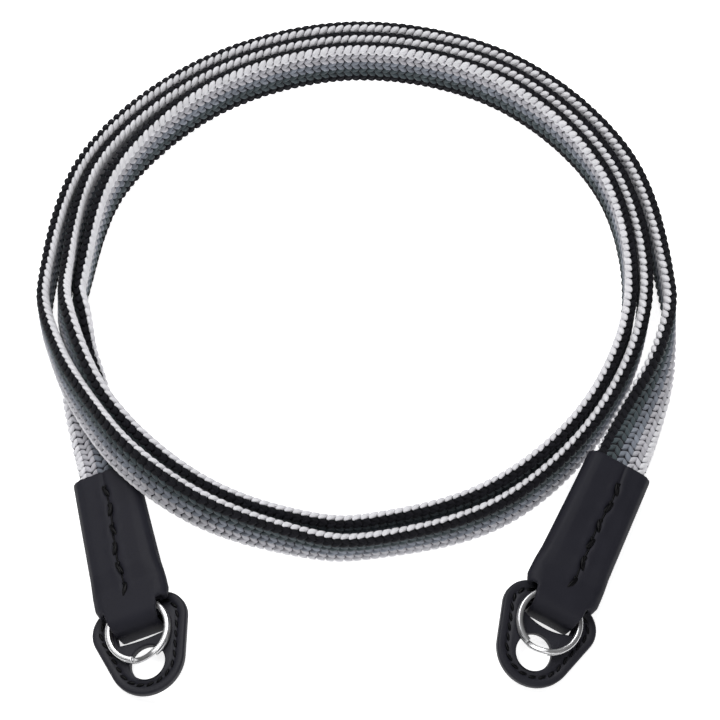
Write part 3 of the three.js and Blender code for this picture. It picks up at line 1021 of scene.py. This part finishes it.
@dataclass
class LeatherEnd:
    """One end of the strap: sleeve with seam, tab, split ring and guard.

    Its own directions are X towards the ring, Y across and Z up from the leather's upper face, with the
    origin in the middle of the sleeve's mouth. The relief fades out at the depth skin, and jog is the angle
    in degrees on which the ring's wire steps up to its second turn.
    """

    side: Side
    route: Route
    repeat: Repeat
    finishes: Finishes
    band_in_sleeve: float = 26.0 * MM
    sleeve_length: float = 34.5 * MM
    sleeve_top: float = 2.8 * MM
    end_top: float = 2.0 * MM
    leather: float = 1.1 * MM
    tab_reach: float = 4.1 * MM
    tab_pocket: float = 3.4 * MM
    fit: float = 0.28 * MM
    voxel: float = 0.34 * MM
    soft: float = 0.5
    soft_rounds: int = 3
    skin: float = 1.7 * MM
    flare: float = 0.9 * MM
    flare_from: float = 5.0 * MM
    flare_over: float = 2.0 * MM
    flare_bend: float = 1.5
    corner_reach: float = 0.5 * MM
    corner_bend: int = 8
    seam_length: float = 31.8 * MM
    seam_wander: float = 0.22 * MM
    seam_wave: float = 3.1 * MM
    relief: Relief = Relief()
    relief_reach: float = 6.0 * MM
    stitch: Shape = Shape(length=2.7 * MM, width=1.28 * MM, height=0.95 * MM, taper=0.3, unevenness=0.2,
                          segments=12, rings=8)
    stitch_pitch: float = 4.93 * MM
    stitch_dip: float = 0.1
    ring_diameter: float = 15.0 * MM
    wire_width: float = 1.25 * MM
    wire_height: float = 0.95 * MM
    wire_corner: float = 0.34 * MM
    ring_steps: int = 260
    turn_gap: float = 0.12 * MM
    jog: float = 22.0
    guard_length: float = 22.5 * MM
    guard_width: float = 22.4 * MM
    guard_shoulder: float = 5.9 * MM
    guard_tip: float = 8.8 * MM
    guard_thickness: float = 2.0 * MM
    guard_rim: float = 0.62 * MM
    guard_groove: float = 0.38 * MM
    groove_width: float = 0.5 * MM
    groove_steps: tuple[float, ...] = (-1.1, -0.75, -0.5, -0.25, 0.0, 0.25, 0.5, 0.75, 1.1)
    mouth_rim: float = 0.4 * MM
    guard_inset: float = 2.3 * MM
    guard_drop: float = 3.0
    guard_play: float = 1.2 * MM
    slot_slack: float = 0.3 * MM
    slot_corner: float = 0.45 * MM
    slot_bow: float = 0.75
    slot_bow_less: float = 0.1 * MM
    tab_tip_width: float = 10.2 * MM
    tab_droop: float = 0.7 * MM
    droop_from: float = 1.2 * MM
    droop_over: float = 3.4 * MM
    hole_width: float = 8.2 * MM
    hole_margin: float = 3.5 * MM
    guard_stitch: Shape = Shape(length=1.95 * MM, width=0.72 * MM, height=0.6 * MM, taper=0.1,
                                unevenness=0.12, segments=10, rings=7)
    guard_stitch_inset: float = 2.15 * MM
    guard_stitch_pitch: float = 2.3 * MM
    guard_stitch_depth: float = 0.2 * MM
    guard_stitch_lean: float = 16.0

    def __post_init__(self) -> None:
        """Finds where this end lies from the end of the band."""
        at = 0.0 if self.side is Side.RIGHT else self.route.length
        centre, along, _, face = (Vector(v[0]) for v in self.route.at(np.array([at])))
        x = -along if self.side is Side.RIGHT else along
        z = face
        y = z.cross(x)
        turned = Matrix((x, y, z)).transposed().to_4x4()
        self.frame = Matrix.Translation(centre - self.band_in_sleeve * x) @ turned
        self.wear = WEAR[self.side]
        back = self.sleeve_length - self.tab_pocket
        pivot = Matrix.Translation((back, 0, self.end_top - self.leather))
        drop = Matrix.Rotation(math.radians(self.guard_drop), 4, "Y")
        self.hung = self.frame @ pivot @ drop @ pivot.inverted()

    def name(self, piece: str) -> str:
        """The name of a piece of this end."""
        return f"{self.side.value}_{piece}"

    @property
    def stitches(self) -> list[float]:
        """Where the seam's stitches sit.

        Returns:
            Their lengths along the sleeve.
        """
        start = self.wear.stitch_start
        count = int((self.seam_length - start) / self.stitch_pitch) + 1
        return [start + self.stitch_pitch * i for i in range(count)]

    def seam_line(self, x: float) -> float:
        """Where the seam runs, which wanders a little.

        Args:
            x: Length along the sleeve.

        Returns:
            The seam's place across it.
        """
        start, end = self.wear.seam_ends
        place = start + (end - start) * x / self.seam_length
        return place + self.seam_wander * math.sin(x / self.seam_wave + len(self.side.value))

    def sleeve(self, node: Object) -> None:
        """Makes the sleeve and tab, one piece of leather with a butted seam on its upper face.

        Args:
            node: The end's solid.
        """
        bm = bmesh.new()
        bm.from_mesh(node.data)
        bmesh.ops.remove_doubles(bm, verts=bm.verts, dist=0.01 * MM)
        mesh = bpy.data.meshes.new(self.name("leather"))
        bm.to_mesh(mesh)
        bm.free()
        sleeve = linked(mesh.name, mesh)
        remesh = sleeve.modifiers.new("remesh", "REMESH")
        remesh.mode = "VOXEL"
        remesh.voxel_size = self.voxel
        remesh.use_smooth_shade = True
        soften = sleeve.modifiers.new("soften", "SMOOTH")
        soften.factor = self.soft
        soften.iterations = self.soft_rounds
        applied(sleeve, self.finishes.sleeve)
        inverse = self.frame.inverted()
        wide = self.wear.wide_side
        stitches = self.stitches
        for vert in sleeve.data.vertices:
            local = inverse @ vert.co
            along = clamped(local.x / self.sleeve_length)
            aside = eased(clamped((abs(local.y) - self.flare_from) / self.flare_over))
            corner = self.corner_reach * aside * along ** self.corner_bend
            local.x += self.wear.mouth_trim * (1 - along) ** 2 + corner
            if local.y * wide > 0:
                local.y += wide * self.flare * aside * along ** self.flare_bend
            tip = clamped((local.x - self.sleeve_length + self.droop_from) / self.droop_over)
            local.x += self.tab_droop * eased(tip)
            vert.co = self.frame @ local
            skin = self.sleeve_top - self.skin if local.x < self.band_in_sleeve else 0.0
            inside = 0 < local.x < self.sleeve_length and abs(local.y) < self.relief_reach
            if local.z > skin and inside:
                top = clamped((local.z - skin) / self.leather)
                nearest = min(abs(local.x - stitch) for stitch in stitches)
                away = local.y - self.seam_line(local.x)
                local.z += top * self.relief.height(self.seam_length - local.x, away, nearest)
                vert.co = self.frame @ local
        sleeve.data.shade_smooth()
        seat(sleeve, [self.name("sleeve")])

    def seam(self) -> None:
        """Makes the thick waxed stitches that close the sleeve's seam."""
        places, ways, sizes = [], [], []
        for i, x in enumerate(self.stitches):
            flip = 1 if i % 2 == 0 else -1
            for strand in STRANDS:
                angle = math.radians(flip * strand.turn)
                at = x + strand.ahead
                across = self.seam_line(at) + flip * strand.aside
                places.append((at, across, self._surface(at) - strand.depth))
                ways.append((math.cos(angle), math.sin(angle), -self.stitch_dip))
                sizes.append(strand.size)
        spots = np.array([self.frame @ Vector(p) for p in places])
        turned = self.frame.to_3x3()
        run = np.array([(turned @ Vector(w)).normalized() for w in ways])
        up = np.tile(np.array(turned @ Vector((0, 0, 1))), (len(places), 1))
        piece = self.repeat.make(self.name("seam_stitches"), self.stitch, self.finishes.thread, SEAM_SEED,
                                 spots, run, up, np.array(sizes))
        seat(piece)

    def _surface(self, x: float) -> float:
        """How high the sleeve's upper face lies along its middle.

        Args:
            x: Length along the sleeve.

        Returns:
            The height.
        """
        start = self.band_in_sleeve
        end = self.sleeve_length - self.tab_pocket - self.leather
        share = clamped((x - start) / (end - start))
        return self.sleeve_top + share * (self.end_top - self.sleeve_top)

    def ring(self) -> None:
        """Makes the split ring: two turns of wire with a step between them."""
        radius = (self.ring_diameter - self.wire_width) / 2
        pitch = self.wire_height + self.turn_gap
        corner = self.wire_corner
        half = (self.wire_width / 2 - corner, self.wire_height / 2 - corner)
        section = []
        for quarter, (cx, cy) in enumerate(CORNERS):
            section += round_corner((cx * half[0], cy * half[1]), corner, quarter, 4)
        steps = self.ring_steps
        points = []
        for i in range(steps + 1):
            turn = self.jog + (720 - 2 * self.jog) * i / steps
            height = pitch * (eased(clamped((turn - 360 + self.jog) / (2 * self.jog))) - 0.5)
            c, s = math.cos(math.radians(turn)), math.sin(math.radians(turn))
            points += [((radius + u) * c, (radius + u) * s, height + v) for u, v in section]
        centre = Vector((
            self.sleeve_length - self.tab_pocket + self.fit + self.ring_diameter / 2 + self.wear.ring_slip,
            0,
            -self.end_top + pitch / 2 + self.wire_height / 2,
        ))
        placed = [self.hung @ (centre + Vector(p)) for p in points]
        ring = mesh_object(self.name("split_ring"), placed, loft_faces(steps + 1, len(section)))
        ring.data.materials.append(self.finishes.steel)
        seat(ring, [self.name("ring")])

    def guard_outline(self) -> list[Point2]:
        """Draws the guard: a straight upper edge, two round shoulders and a round tip.

        Returns:
            Its outline, anticlockwise.
        """
        shoulder = (self.guard_shoulder, self.guard_width / 2 - self.guard_shoulder)
        tip = (self.guard_length - self.guard_tip, 0.0)
        apart = math.hypot(tip[0] - shoulder[0], shoulder[1])
        slope = math.atan2(shoulder[1], tip[0] - shoulder[0])
        side = math.acos((self.guard_shoulder - self.guard_tip) / apart) - slope
        low = (shoulder[0], -shoulder[1])
        return [
            *arc(low, self.guard_shoulder, -math.pi, -side, 20),
            *arc(tip, self.guard_tip, -side, side, 36),
            *arc(shoulder, self.guard_shoulder, side, math.pi, 20),
        ]

    def guard_openings(self) -> list[list[Point2]]:
        """Draws the guard's openings.

        Returns:
            The outlines of its slot and its hole.
        """
        bar = self.tab_reach + self.guard_inset - self.guard_play - 2 * self.fit
        tip = bar + self.leather + 2 * self.fit + self.guard_play + self.slot_slack
        end = tip + self.tab_droop + self.wear.slit
        corner = self.slot_corner
        bow = self.slot_slack + self.slot_bow * self.wear.guard_slip - self.slot_bow_less
        straight = self.tab_tip_width / 2 + 2 * self.fit - corner
        slot = []
        for quarter, (cx, cy) in enumerate(CORNERS):
            x = end - bow - corner if cx > 0 else bar + corner
            slot += round_corner((x, cy * straight), corner, quarter, 5)
        shares = [-0.9 + 0.1 * i for i in range(19)]
        slot += [(end - bow * share ** 2, share * straight) for share in shares]
        top = tip + self.wear.hole_bridge
        reach = (self.guard_length - self.hole_margin - top) / 2
        turns = [2 * math.pi * i / 64 for i in range(64)]
        hole = [(top + reach + reach * math.cos(t), self.hole_width / 2 * math.sin(t)) for t in turns]
        return [slot, hole]

    def guard(self) -> None:
        """Makes the guard: a leather plate with rounded rims and a stitching groove."""
        half = self.guard_thickness / 2
        profile, mouth = (
            [(rim - x, half - rim + y) for x, y in arc((0.0, 0.0), rim, 0.0, math.pi / 2, 6)]
            for rim in (self.guard_rim, self.mouth_rim)
        )
        profile += [(self.guard_stitch_inset + d * MM,
                     half - self.guard_groove * bell(d * MM, self.groove_width)) for d in self.groove_steps]
        points: list[tuple[float, float, float]] = []
        faces: list[list[int]] = []
        fields: dict[int, list[list[int]]] = {1: [], -1: []}
        for loop, rows, inward in ((self.guard_outline(), profile, -1),
                                   *((opening, mouth, 1) for opening in self.guard_openings())):
            stack = [(d, -z) for d, z in reversed(rows)] + rows
            count = len(loop)
            base = len(points)
            for d, z in stack:
                points += [(x, y, z) for x, y in offset_loop(loop, inward * d)]
            faces += [[base + k for k in face] for face in loft_faces(len(stack), count, caps=False)]
            fields[-1].append([base + k for k in range(count)])
            fields[1].append([base + (len(stack) - 1) * count + k for k in range(count)])
        for loops in fields.values():
            flat = [k for loop in loops for k in loop]
            outlines = [[Vector((*points[k][:2], 0.0)) for k in loop] for loop in loops]
            faces += [[flat[k] for k in triangle] for triangle in tessellate_polygon(outlines)]
        placed = [self.guard_place() @ Vector(p) for p in points]
        guard = mesh_object(self.name("guard_leather"), placed, faces, weld=0.001 * MM)
        guard.data.materials.append(self.finishes.guard)
        seat(guard, [self.name("guard")])

    def guard_place(self) -> Matrix:
        """Finds where the guard lies.

        Returns:
            Its place from its own directions.
        """
        low = -self.end_top - self.fit - self.guard_thickness / 2
        ahead = self.sleeve_length - self.guard_inset + self.wear.guard_slip
        return self.hung @ Matrix.Translation((ahead, 0, low))

    def guard_stitches(self) -> None:
        """Makes the stitches round the guard's edge, on both faces."""
        place, way = spaced(offset_loop(self.guard_outline(), -self.guard_stitch_inset),
                            self.guard_stitch_pitch)
        where = self.guard_place()
        turned = where.to_3x3()
        spots, run, up = [], [], []
        for face in (1, -1):
            height = face * (self.guard_thickness / 2 - self.guard_stitch_depth)
            lean = math.radians(self.guard_stitch_lean) * face
            for (x, y), (a, b) in zip(place, way):
                spots.append(where @ Vector((x, y, height)))
                tilted = (a * math.cos(lean) - b * math.sin(lean), a * math.sin(lean) + b * math.cos(lean), 0)
                run.append(turned @ Vector(tilted))
                up.append(turned @ Vector((0, 0, face)))
        piece = self.repeat.make(self.name("guard_stitches"), self.guard_stitch, self.finishes.thread,
                                 GUARD_SEED, np.array(spots), np.array(run), np.array(up))
        seat(piece)


# The studio


@dataclass(frozen=True)
class Lamp:
    """A soft square light: its name, where it hangs, the length of its sides and its power in watts."""

    name: str
    place: tuple[float, float, float]
    size: float
    power: float


@dataclass
class Studio:
    """The table, the lights and the camera, which looks at the middle of the coil.

    The sky grows from its low brightness at the horizon to its high brightness at the height sky_full.
    """

    finishes: Finishes
    coil_centre: Vector
    distance: float = 709.0 * MM
    elevation: float = 59.9
    pixels_per_radian: float = 3070.0
    sensor: float = 36.0
    table: float = 6.0
    sky_low: float = 0.5
    sky_high: float = 1.25
    sky_full: float = 0.9
    lamps: tuple[Lamp, ...] = (
        Lamp("top_light", (-0.25, 0.35, 1.1), 0.9, 14.0),
        Lamp("front_light", (0.35, -0.9, 0.9), 0.7, 5.0),
    )

    def camera(self) -> None:
        """Sets the camera at the photograph's angle and frame."""
        data = bpy.data.cameras.new("camera")
        data.sensor_width = self.sensor
        data.lens = self.pixels_per_radian / PHOTO_WIDTH * self.sensor
        data.clip_start = 0.01
        data.clip_end = 20.0
        camera = linked("camera", data)
        tilt = math.radians(90 - self.elevation)
        camera.rotation_euler = (tilt, 0, 0)
        turned = camera.rotation_euler.to_matrix()
        right, up, ahead = turned @ Vector((1, 0, 0)), turned @ Vector((0, 1, 0)), turned @ Vector((0, 0, -1))
        shift = [(pixel - PHOTO_WIDTH / 2) / self.pixels_per_radian for pixel in COIL_IN_PHOTO]
        camera.location = self.coil_centre - self.distance * (ahead + shift[0] * right - shift[1] * up)
        bpy.context.scene.camera = camera

    def floor(self) -> None:
        """Lays the table under the strap."""
        reach = self.table / 2
        corners = [(-reach, -reach, 0), (reach, -reach, 0), (reach, reach, 0), (-reach, reach, 0)]
        floor = mesh_object("table", corners, [[0, 1, 2, 3]])
        floor.data.materials.append(self.finishes.floor)

    def lights(self) -> None:
        """Lights the strap evenly, a little more from above and behind, with lamps that look at the coil."""
        for lamp in self.lamps:
            data = bpy.data.lights.new(lamp.name, "AREA")
            data.size = lamp.size
            data.energy = lamp.power
            light = linked(lamp.name, data)
            light.location = lamp.place
            ahead = self.coil_centre - Vector(lamp.place)
            light.rotation_euler = ahead.to_track_quat("-Z", "Y").to_euler()
        world = bpy.data.worlds.new("studio")
        world.use_nodes = True
        t = Tree(world.node_tree)
        way = t.add("ShaderNodeTexCoord").outputs["Generated"]
        height = t.add("ShaderNodeSeparateXYZ", {0: way}).outputs["Z"]
        brightness = t.add("ShaderNodeMapRange", {
            "Value": height,
            "From Min": 0.0,
            "From Max": self.sky_full,
            "To Min": self.sky_low,
            "To Max": self.sky_high,
        }, interpolation_type="SMOOTHSTEP")
        background = world.node_tree.nodes["Background"]
        t.tree.links.new(brightness.outputs[0], background.inputs["Strength"])
        bpy.context.scene.world = world
        bpy.context.scene.view_settings.view_transform = "Standard"


def main() -> None:
    """Builds the strap and its studio."""
    logging.basicConfig(level=logging.INFO, format="%(message)s")
    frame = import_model()
    finishes = Finishes()
    repeat = Repeat()
    route = Route.of_solid(frame["nodes"]["strap_band"], Braid.width)
    log.info("route: %d stations, %.1f mm", len(route.run), route.length / MM)
    studio = Studio(finishes, Vector(COIL_MIDDLE))
    studio.camera()
    studio.floor()
    studio.lights()
    braid = Braid(route, repeat, finishes)
    braid.core()
    braid.yarns()
    for side in Side:
        end = LeatherEnd(side, route, repeat, finishes)
        end.sleeve(frame["nodes"][end.name("sleeve")])
        end.seam()
        end.ring()
        end.guard()
        end.guard_stitches()


if __name__ == "__main__":
    main()
